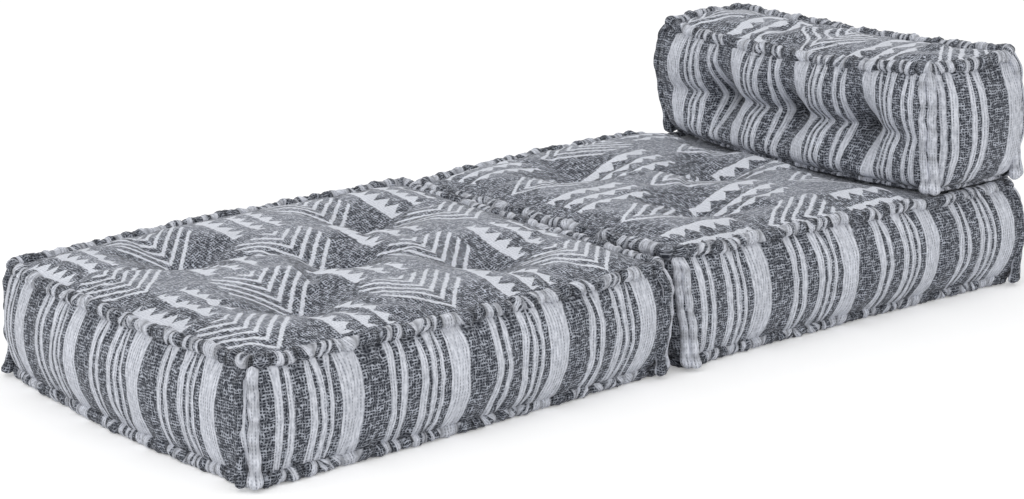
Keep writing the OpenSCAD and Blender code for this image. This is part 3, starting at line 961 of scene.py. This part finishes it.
# How a border swells and is stitched. A higher fullness swells squarer, endWidth is two distances
# from an end, and the dark ones are painted shade along the seams and by the corner rolls: a strength and
# its reach.
borderLook = {
    "fullness": 2.3,
    "tightEnds": 0.93,
    "endDip": 0.010,
    "endWidth": (0.004, 0.026),
    "seamHeld": 0.008,
    "seamShade": (0.85, 0.007),
    "endShade": (0.8, 0.012),
    "pinchStart": 0.012,
    "pinchReach": 0.016,
    "pinchIn": 0.0045,
    "pinchAlong": 0.012,
    "ripple": 0.0015,
    "footReach": 0.022,
}


# One border between the rolled edges, swollen, and drawn in by the side tufts of the backrest
def borderPanel(cushion, side, fullness):
    shares = sharesOf(cushion, side % 2)
    tufted = cushion["sideTufts"] and side % 2 == 1
    even = np.linspace(0, 1, 36 if tufted else 22)
    rows = 0.4 * even + 0.3 * (1 - np.cos(np.pi * even))
    share, row = np.meshgrid(shares, rows, indexing="ij")
    radius, groove = cover["rollRadius"], cover["groove"]
    foot = cushion["bottomRoll"]
    top = topLine(cushion, side, share) - radius
    z = foot + row * (top - foot)
    rise = np.minimum(z - foot, top - z)
    tight = 1 - borderLook["tightEnds"] * np.abs(share) ** 1.9
    swell = cushion["swell"][side] * tight * fullness
    body = (groove + swell) * (1 - np.abs(2 * row - 1) ** borderLook["fullness"]) - groove
    endDistance = (1 - np.abs(share)) * cushion["half"][side % 2]
    bury = (radius - groove) * (1 - smoothStep(rise, 0, 0.012))
    out = body - bury - borderLook["endDip"] * (1 - smoothStep(endDistance, *borderLook["endWidth"]))
    ends = np.abs(share) > 0.999
    held = (rise < borderLook["seamHeld"]) | ends
    # Painted shade along the seams under the rolled edges and beside the corner rolls
    fold = 0 * z
    for label, distance in (("seamShade", rise), ("endShade", endDistance)):
        dark, reach = borderLook[label]
        fold = np.maximum(fold, dark * np.exp(-distance / reach))
    if tufted:
        drawn, dark, pinned = creaseSide(cushion, share, z)
        out, fold, held = out + drawn, np.maximum(fold, dark), held | pinned
    station = side + (share + 1) / 2
    along = 0 * z
    for edge, distance in (("top", top - z), ("bottom", z - foot)):
        between = betweenPinches(cushion["pinches"][edge], station)[0]
        strength = np.exp(-np.maximum(distance - borderLook["pinchStart"], 0) / borderLook["pinchReach"])
        out = out - borderLook["pinchIn"] * strength * (1 - np.sin(np.pi * between) ** 0.7)
        drift = borderLook["pinchAlong"] * strength * np.sin(2 * np.pi * between)
        along = along - drift * (1 - np.abs(share) ** 8)
    ripple = waver(share + 0.6 * row, cushion["seed"] + side, 0.05, 0.3)
    out = out + borderLook["ripple"] * ripple * (1 - np.abs(2 * row - 1) ** 2)
    out = out - cushion["bottomInset"] * (1 - smoothStep(z, 0, borderLook["footReach"]))
    x, y = seamPoint(cushion, side, share, z / cushion["height"], 0.0)
    moveX, moveY = turned(along, -out, side)
    cornerX, cornerY = seamPoint(cushion, side, np.sign(share), z / cushion["height"], radius)
    x, y = np.where(ends, cornerX, x + moveX), np.where(ends, cornerY, y + moveY)
    cloth = np.stack([stripeAt(cushion, side, share), z], axis=-1)
    return {"points": placed(cushion, x, y, z), "cloth": cloth, "fold": fold, "held": held}


# Air pressure fills the cover, which is held along its rolled edges and at its tufts. The panels
# start less full than they end, and cap is the most a point may move.
inflation = {
    "startFullness": 0.8,
    "pressure": 3.5,
    "frames": 20,
    "slack": 0.02,
    "cap": 0.012,
    "cloth": {
        "quality": 5, "mass": 0.4, "tension_stiffness": 20, "compression_stiffness": 8,
        "shear_stiffness": 8, "bending_stiffness": 1.2, "use_pressure": True,
    },
}


def inflate(cushion, panels):
    points = np.concatenate([panel["points"].reshape(-1, 3) for panel in panels])
    held = np.concatenate([panel["held"].ravel() for panel in panels])
    places, first, back = np.unique(np.round(points, 5), axis=0, return_index=True, return_inverse=True)
    back = back.ravel()
    fixed = np.zeros(len(places), bool)
    np.logical_or.at(fixed, back, held)
    faces = []
    start = 0
    for panel in panels:
        rows, columns = panel["points"].shape[:2]
        index = back[start:start + rows * columns].reshape(rows, columns)
        quads = np.stack([index[:-1, :-1], index[1:, :-1], index[1:, 1:], index[:-1, 1:]], axis=-1)
        faces.extend(quads.reshape(-1, 4).tolist())
        start += rows * columns
    mesh = bpy.data.meshes.new("inflating")
    mesh.from_pydata(points[first].tolist(), [], faces)
    body = addObject("inflating", mesh)
    pins = body.vertex_groups.new(name="held")
    pins.add(np.flatnonzero(fixed).tolist(), 1.0, "REPLACE")
    cloth = body.modifiers.new("cloth", "CLOTH")
    settings = cloth.settings
    for label, value in inflation["cloth"].items():
        setattr(settings, label, value)
    settings.vertex_group_mass = "held"
    settings.uniform_pressure_force = inflation["pressure"]
    settings.shrink_min = -inflation["slack"]
    settings.effector_weights.gravity = 0
    cloth.collision_settings.use_collision = False
    cloth.point_cache.frame_end = inflation["frames"]
    scene = bpy.context.scene
    for number in range(1, inflation["frames"] + 1):
        scene.frame_set(number)
    dressed = body.evaluated_get(bpy.context.evaluated_depsgraph_get())
    result = np.zeros(len(places) * 3, np.float32)
    dressed.data.vertices.foreach_get("co", result)
    scene.frame_set(1)
    bpy.data.objects.remove(body)
    bpy.data.meshes.remove(mesh)
    moved = result.reshape(-1, 3) - points[first]
    size = np.linalg.norm(moved, axis=1, keepdims=True)
    moved = moved * np.minimum(1, inflation["cap"] / np.maximum(size, 1e-9))
    print(f"{cushion['name']} inflated, most {size.max() * 1000:.1f} mm, mean {size.mean() * 1000:.1f} mm")
    final = (points[first] + moved)[back]
    start = 0
    for panel in panels:
        shape = panel["points"].shape
        panel["points"] = final[start:start + shape[0] * shape[1]].reshape(shape)
        start += shape[0] * shape[1]


bottomLook = {
    "lift": 0.0015,
    "turnUp": 0.03,
    "recess": 0.013,
    "recessReach": 0.022,
}


# The bottom panel: flat where it rests, turned up to the rolled edge, and hollow at its ties
def bottomPanel(cushion):
    share, other = np.meshgrid(np.linspace(-1, 1, 81), np.linspace(-1, 1, 71), indexing="ij")
    inset = cushion["bottomInset"] + cushion["bottomRoll"]
    frontY = seamPoint(cushion, 0, share, 0.0, inset)[1]
    rearY = seamPoint(cushion, 2, -share, 0.0, inset)[1]
    rightX = seamPoint(cushion, 1, other, 0.0, inset)[0]
    leftX = seamPoint(cushion, 3, -other, 0.0, inset)[0]
    x = leftX + (rightX - leftX) * (share + 1) / 2
    y = frontY + (rearY - frontY) * (other + 1) / 2
    edge = np.minimum((1 - np.abs(share)) * cushion["half"][0], (1 - np.abs(other)) * cushion["half"][1])
    lift, reach = bottomLook["lift"], bottomLook["recessReach"]
    z = lift + (cushion["bottomRoll"] - lift) * (1 - smoothStep(edge, 0, bottomLook["turnUp"]))
    for tuft in cushion["tufts"]:
        z = z + bottomLook["recess"] * np.exp(-(np.hypot(x - tuft[0], y - tuft[1]) / reach) ** 2)
    points = placed(cushion, x, y, z)
    return {"points": points[::-1], "cloth": np.stack([x, y], axis=-1)[::-1], "fold": 0 * z}


# The line of a rolled edge round a cushion, smoothed at the corners
def edgeLine(cushion, top):
    radius = cover["rollRadius"] if top else cushion["bottomRoll"]
    inset = radius if top else radius + cushion["bottomInset"]
    points, stations, cloth = [], [], []
    for side in range(4):
        count = round(2 * cushion["half"][side % 2] / cover["rollStep"])
        share = np.linspace(-1, 1, count, endpoint=False)
        x, y = seamPoint(cushion, side, share, 1.0 if top else 0.0, inset)
        z = topLine(cushion, side, share) - radius if top else 0 * x + radius
        stripe = stripeAt(cushion, side, share)
        if side > 0:
            jump = stripe[0] - cloth[-1][-1]
            stripe = stripe - round(jump / stripes["repeat"]) * stripes["repeat"]
        points.append(np.stack([x, y, z], axis=-1))
        stations.append(side + (share + 1) / 2)
        cloth.append(stripe)
    points = np.concatenate(points)
    stations = np.concatenate(stations)
    cloth = np.concatenate(cloth)
    span = 10
    kernel = np.exp(-np.linspace(-2.5, 2.5, 2 * span + 1) ** 2)
    kernel = kernel / kernel.sum()

    def smoothed(values, wrap=0.0):
        ends = np.concatenate([values[-span:] - wrap, values, values[:span] + wrap])
        return np.convolve(ends, kernel, mode="valid")

    lap = round((cloth[-1] - cloth[0]) / stripes["repeat"]) * stripes["repeat"]
    points = np.stack([smoothed(points[:, k]) for k in range(3)], axis=-1)
    return points, smoothed(stations, 4.0), smoothed(cloth, lap), lap


# A rolled edge swells to a lump between two pinches, and the lumps lean and wander a little; shade is
# painted into the pinches between lumps
lumpLook = {
    "sides": 18,
    "slimmest": 0.86,
    "swelling": 0.16,
    "wander": 0.0030,
    "footWander": 0.0004,
    "pinchIn": 0.0012,
    "uneven": (0.07, 0.06),
    "lean": 0.018,
    "pinchShade": 1.05,
}


def edgeRoll(cushion, top):
    line, station, cloth, lap = edgeLine(cushion, top)
    radius = cover["rollRadius"] if top else cushion["bottomRoll"]
    pinches = cushion["pinches"]["top" if top else "bottom"]
    between, lump = betweenPinches(pinches, station)
    size = pinches[1][lump]
    forward = np.roll(line, -2, axis=0) - np.roll(line, 2, axis=0)
    forward = forward / np.linalg.norm(forward, axis=1, keepdims=True)
    outward = np.cross(forward, (0, 0, 1.0))
    outward = outward / np.linalg.norm(outward, axis=1, keepdims=True)
    puff = np.abs(np.sin(np.pi * between)) ** 0.55
    girth = radius * (lumpLook["slimmest"] + lumpLook["swelling"] * puff * size)
    length = np.arange(len(line)) * cover["rollStep"]
    seed = cushion["seed"] + (100 if top else 200)
    wanderOut = lumpLook["wander"] * waver(length, seed, 0.04, 0.4) - lumpLook["pinchIn"] * (1 - puff)
    wanderUp = lumpLook["wander" if top else "footWander"] * waver(length, seed + 1, 0.04, 0.4)
    dice = np.random.default_rng(seed)
    tilt = dice.uniform(-0.9, 0.9, len(pinches[1]) + 1)[lump]
    phase = dice.uniform(0, 2 * np.pi, len(pinches[1]) + 1)[lump]
    sides = lumpLook["sides"]
    angle = np.arange(sides) * 2 * np.pi / sides
    threefold = puff[:, None] * np.sin(3 * angle + (phase + 14 * (between - 0.5))[:, None])
    twofold = np.sin(2 * angle + (40 * length + phase)[:, None])
    ring = girth[:, None] * (1 + lumpLook["uneven"][0] * threefold + lumpLook["uneven"][1] * twofold)
    points = (line[:, None, :]
              + (wanderOut[:, None] + ring * np.cos(angle))[..., None] * outward[:, None, :]
              + (wanderUp[:, None] + ring * np.sin(angle))[..., None] * np.array((0, 0, 1.0)))
    if top:
        points[..., 2] = pressed(cushion, points[..., 0], points[..., 1], points[..., 2])
    else:
        points[..., 2] = np.maximum(points[..., 2], cover["rest"])
    points = points + np.array((*cushion["centre"], cushion["base"]))
    full = np.arange(sides + 1) * 2 * np.pi / sides
    stripe = np.concatenate([cloth, [cloth[0] + lap]])
    lean = np.concatenate([tilt * puff, [tilt[0] * puff[0]]])
    along = stripe[:, None] + lumpLook["lean"] * lean[:, None] * np.sin(full)[None, :]
    around = np.broadcast_to(full * radius, along.shape)
    # Painted shade in the pinches between lumps
    fold = np.broadcast_to((1 - puff)[:, None] ** 1.4, points.shape[:2]) * lumpLook["pinchShade"]
    return addGrid(newParts(), points, np.stack([along, around], axis=-1), fold, looped=True, wrapped=True)


# A rolled seam up one corner, in two lobes: they flare to a small pleated fan at the foot, and
# draw together under the rolled edge at the top. Shade is painted into the pinches along each lobe.
cornerLook = {
    "rows": 60,
    "sides": 20,
    "inset": 0.010,
    "underTop": 0.012,
    "drawHeight": 0.035,
    "drawIn": 0.010,
    "closeHeight": 0.016,
    "close": 0.45,
    "fanHeight": 0.05,
    "fanOut": 0.012,
    "flare": 0.38,
    "pleats": 7,
    "pleatDepth": 0.10,
    "tipHeight": 0.012,
    "tip": 0.30,
    "pinches": 5,
    "pinchHeight": 0.008,
    "wander": 0.0020,
    "turn": 0.012,
    "pinchShade": 0.35,
}


def cornerRolls(cushion):
    parts = newParts()
    look = cornerLook
    sides = look["sides"]
    angle = -np.arange(sides) * 2 * np.pi / sides
    full = -np.arange(sides + 1) * 2 * np.pi / sides
    for corner in range(4):
        low = cushion["bottomRoll"] * 0.5
        top = cushion["height"] + cushion["cornerPeak"][corner] + cushion["ears"][corner] - look["underTop"]
        dice = np.random.default_rng(cushion["seed"] + 300 + corner)
        z = np.linspace(low, top, look["rows"])
        x, y = seamPoint(cushion, corner, np.ones_like(z), z / cushion["height"], look["inset"])
        diagonal = np.array(turned(1, -1, corner)) / math.sqrt(2)
        facing = math.atan2(diagonal[1], diagonal[0])
        ahead = cushion["cornerTwin"][corner] < 0
        beside = np.array(turned(0, 1, corner) if ahead else turned(-1, 0, corner))
        outward = np.array(turned(1, 0, corner) if ahead else turned(0, -1, corner))
        flare = 1 - smoothStep(z, low, low + look["fanHeight"])
        under = 1 - smoothStep(z, top - look["drawHeight"], top)
        closing = 1 - look["close"] * smoothStep(z, top - look["closeHeight"], top)
        closing = closing - look["tip"] * (1 - smoothStep(z, low, low + look["tipHeight"]))
        sway = look["wander"] * waver(z, cushion["seed"] + 310 + corner, 0.05, 0.2)
        swing = look["wander"] * waver(z, cushion["seed"] + 320 + corner, 0.05, 0.2)
        spine = np.stack([x, y], axis=-1) + np.outer(
            look["fanOut"] * flare + sway - look["drawIn"] * (1 - under), diagonal)
        pleat = 1 + look["pleatDepth"] * flare[:, None] * np.cos(look["pleats"] * angle)
        for (radius, shift, stand), phase in zip(cushion["lobes"], cushion["cornerStripes"][corner]):
            count = look["pinches"]
            places = np.sort(dice.uniform(0.0, 1.0, count) * 0.16 + np.arange(count) / count)
            pinch = places * (top - low) + low
            nearest = np.abs(z[:, None] - pinch[None, :]).min(axis=1)
            puff = 1 - np.exp(-(nearest / look["pinchHeight"]) ** 2)
            girth = radius * (0.90 + 0.15 * puff) * (1 + look["flare"] * flare) * closing
            middle = spine + np.outer(shift * (0.5 + 0.5 * under) + swing, beside)
            middle = middle + np.outer(stand * under, outward)
            reach = girth[:, None] * pleat
            px = middle[:, 0:1] + reach * np.cos(angle)
            py = middle[:, 1:2] + reach * np.sin(angle)
            points = np.stack([px, py, np.broadcast_to(z[:, None], px.shape)], axis=-1)
            for row, share in ((0, 0.5), (-1, 0.7)):
                points[row, :, :2] = middle[row] + (points[row, :, :2] - middle[row]) * share
            points = points + np.array((*cushion["centre"], cushion["base"]))
            around = np.arctan2(np.sin(full - facing), np.cos(full - facing))
            along = phase * stripes["repeat"] + look["turn"] * around
            along, upward = np.broadcast_arrays(along[None, :], z[:, None])
            # Painted shade at the pinches of each lobe
            fold = np.broadcast_to((1 - puff)[:, None], px.shape) * look["pinchShade"]
            addGrid(parts, points, np.stack([along, upward], axis=-1), fold, wrapped=True, capped=True)
    return parts


# The wadding inside a cushion, dented under its tufts, as a tube of cross-sections with closed ends
def wadding(cushion, panels):
    gap = cover["waddingGap"]
    if cushion["sideTufts"]:
        inward = np.array((1.5 * gap, 0, 0))
        face = panels[4]["points"][5:-5, 3:-3] + inward
        reverse = panels[2]["points"][5:-5, 3:-3] - inward
        sheets = (face, reverse[::-1, ::-1])
    else:
        top = panels[0]["points"][4:-4:2, 4:-4:2] - np.array((0, 0, gap))
        under = top[:, ::-1] * np.array((1, 1, 0)) + np.array((0, 0, cushion["base"] + gap))
        sheets = (top, under)
    points = np.concatenate(sheets, axis=1)
    rounds = np.linspace(0, 2 * points.shape[1] * 0.02, points.shape[1] + 1)
    lengths = np.arange(points.shape[0]) * 0.02
    along, across = np.meshgrid(lengths, rounds, indexing="ij")
    return addGrid(newParts(), points, np.stack([along, across], axis=-1), wrapped=True, capped=True)


# A tube along a line of points, with the cloth measure of its own surface
def addTube(parts, line, radius, closed=False):
    ahead = np.roll(line, -1, axis=0) - np.roll(line, 1, axis=0)
    if not closed:
        ahead[0], ahead[-1] = line[1] - line[0], line[-1] - line[-2]
    ahead = ahead / np.linalg.norm(ahead, axis=1, keepdims=True)
    reference = np.array((0.31, 0.87, 0.38))
    side = np.cross(ahead, reference)
    side = side / np.linalg.norm(side, axis=1, keepdims=True)
    up = np.cross(side, ahead)
    angle = np.arange(8) * np.pi / 4
    ring = np.cos(angle)[None, :, None] * side[:, None, :] + np.sin(angle)[None, :, None] * up[:, None, :]
    points = line[:, None, :] + radius * ring
    measured = np.concatenate([line, line[:1]]) if closed else line
    steps = np.concatenate([[0], np.cumsum(np.linalg.norm(np.diff(measured, axis=0), axis=1))])
    along, around = np.meshgrid(steps, np.arange(9) * radius * np.pi / 4, indexing="ij")
    cloth = np.stack([along, around], axis=-1)
    return addGrid(parts, points, cloth, wrapped=True, looped=closed, capped=not closed)


# Twine of two twisted strands from one tuft to its other end, with an overhand knot at each
def addTie(parts, start, end):
    start, end = np.array(start), np.array(end)
    length = np.linalg.norm(end - start)
    ahead = (end - start) / length
    side = np.cross(ahead, (0.0, 1.0, 0.0) if abs(ahead[1]) < 0.5 else (1.0, 0.0, 0.0))
    side = side / np.linalg.norm(side)
    up = np.cross(ahead, side)
    share = np.linspace(0, 1, round(length / 0.0015) + 1)[:, None]
    angle = 2 * np.pi * share * length / cover["twist"]
    for phase in (0, np.pi):
        swirl = np.cos(angle + phase) * side + np.sin(angle + phase) * up
        addTube(parts, start + share * (end - start) + cover["strand"] * swirl, cover["strand"])
    turn = np.linspace(0, 2 * np.pi, 72, endpoint=False)[:, None]
    size = cover["knot"] / 9
    for place in (start, end):
        knot = ((np.sin(turn) + 2 * np.sin(2 * turn)) * side + (np.cos(turn) - 2 * np.cos(2 * turn)) * up
                - np.sin(3 * turn) * ahead)
        addTube(parts, place + size * knot, 1.15 * cover["strand"], closed=True)
    return parts


# The point of a cover nearest to a place that is given on two of its axes
def surfaceAt(points, place, axes):
    flat = points.reshape(-1, 3)
    gaps = np.hypot(flat[:, axes[0]] - place[0], flat[:, axes[1]] - place[1])
    return flat[np.argmin(gaps)]


def ties(cushion, panels):
    parts = newParts()
    centreX, centreY = cushion["centre"]
    base = cushion["base"]
    for tuft in cushion["tufts"]:
        x, y = centreX + tuft[0], centreY + tuft[1]
        top = surfaceAt(panels[0]["points"], (x, y), (0, 1))
        addTie(parts, (x, y, base + cover["tieFoot"]), (x, y, top[2]))
    if cushion["sideTufts"]:
        spacing, tuftHeight = cushion["sideTufts"]
        for y in (centreY - spacing, centreY, centreY + spacing):
            z = base + tuftHeight
            face = surfaceAt(panels[4]["points"], (y, z), (1, 2))
            reverse = surfaceAt(panels[2]["points"], (y, z), (1, 2))
            addTie(parts, (face[0], y, z), (reverse[0], y, z))
    return parts


def makeCushion(name, materials):
    cushion = readCushion(name)
    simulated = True
    fullness = inflation["startFullness"] if simulated else 1.0
    panels = [topPanel(cushion, fullness)] + [borderPanel(cushion, side, fullness) for side in range(4)]
    if simulated:
        inflate(cushion, panels)
    openSlopes(panels[0])

    # One piece: its finish, the part of the frame it stands for, and the body it moves with
    def add(suffix, parts, slot, label, thick=False):
        piece = makeObject(f"{name}_{suffix}", parts, materials[slot])
        if thick:
            thicken(piece)
        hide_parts(f"{name}_{label}")
        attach(piece, name)
        return piece

    def sheet(panel):
        return addGrid(newParts(), panel["points"], panel["cloth"], panel["fold"])

    for panel, label in zip(panels, ("cover_top",) + cushion["borders"]):
        slot = "patterned_cover" if label == "cover_top" else "striped_cover"
        piece = add(label + "_cloth", sheet(panel), slot, label, thick=True)
    add("cover_bottom_cloth", sheet(bottomPanel(cushion)), "underside_cover", "cover_bottom", thick=True)
    for label, parts in (("top_roll", edgeRoll(cushion, True)), ("bottom_roll", edgeRoll(cushion, False)),
                         ("corner_rolls", cornerRolls(cushion))):
        piece = add(label + "_stitched", parts, "rolled_edge", label)
    piece = add("wadding", wadding(cushion, panels), "filling", "core")
    add("twisted_ties", ties(cushion, panels), "twine", "ties")
    print(f"{name} made")


studio = {
    "world": 0.80,
    "backdrop": 1.0,
    "key": 60.0,
    "keyPlace": (-4.5, -1.5, 5.0),
    "keySize": 3.5,
    "keyAim": (0, 0, 0.2),
    "floor": cloth8(250, 250, 250),
    "floorGlow": 0.26,
    "floorSize": 30.0,
}


def emptyTree(owner):
    owner.use_nodes = True
    owner.node_tree.nodes.clear()
    return owner.node_tree


def rays(tree, *labels):
    path = addNode(tree, "ShaderNodeLightPath").outputs
    return [Signal(path[label]) for label in labels]


# The world is white where the camera or a reflection sees it, and dimmer as a light. Only the
# camera sees the floor's glow.
def makeStudio():
    world = bpy.data.worlds.new("studioWorld")
    bpy.context.scene.world = world
    tree = emptyTree(world)
    direct, glossy, through = rays(tree, "Is Camera Ray", "Is Glossy Ray", "Is Transmission Ray")
    seen = calc("MAXIMUM", direct, calc("MAXIMUM", glossy, through))
    light, shown = (addNode(tree, "ShaderNodeBackground", ((1, 1, 1, 1), studio[label])).outputs[0]
                    for label in ("world", "backdrop"))
    mixed = addNode(tree, "ShaderNodeMixShader", (seen, light, shown)).outputs[0]
    addNode(tree, "ShaderNodeOutputWorld", (mixed,))
    lamp = bpy.data.lights.new("softKey", "AREA")
    lamp.energy = studio["key"]
    lamp.size = studio["keySize"]
    holder = addObject("softKey", lamp)
    holder.location = studio["keyPlace"]
    aim(holder, Vector(studio["keyAim"]) - Vector(studio["keyPlace"]))
    size = studio["floorSize"]
    mesh = bpy.data.meshes.new("studioFloor")
    corners = [(-size, -size, 0), (size, -size, 0), (size, size, 0), (-size, size, 0)]
    mesh.from_pydata(corners, [], [(0, 1, 2, 3)])
    floor = addObject("studioFloor", mesh)
    material = bpy.data.materials.new("paleFloor")
    tree = emptyTree(material)
    matte = addNode(tree, "ShaderNodeBsdfDiffuse", (studio["floor"],)).outputs[0]
    glow = rays(tree, "Is Camera Ray")[0] * studio["floorGlow"]
    glow = addNode(tree, "ShaderNodeEmission", (None, glow)).outputs[0]
    both = addNode(tree, "ShaderNodeAddShader", (matte, glow)).outputs[0]
    addNode(tree, "ShaderNodeOutputMaterial", (both,))
    floor.data.materials.append(material)


placeCamera()
makeStudio()
print("studio ready")
materials = makeMaterials()
print("finishes ready")
for cushionName in ("foot_seat", "head_seat", "backrest"):
    makeCushion(cushionName, materials)

bpy.context.scene.view_settings.view_transform = "Standard"
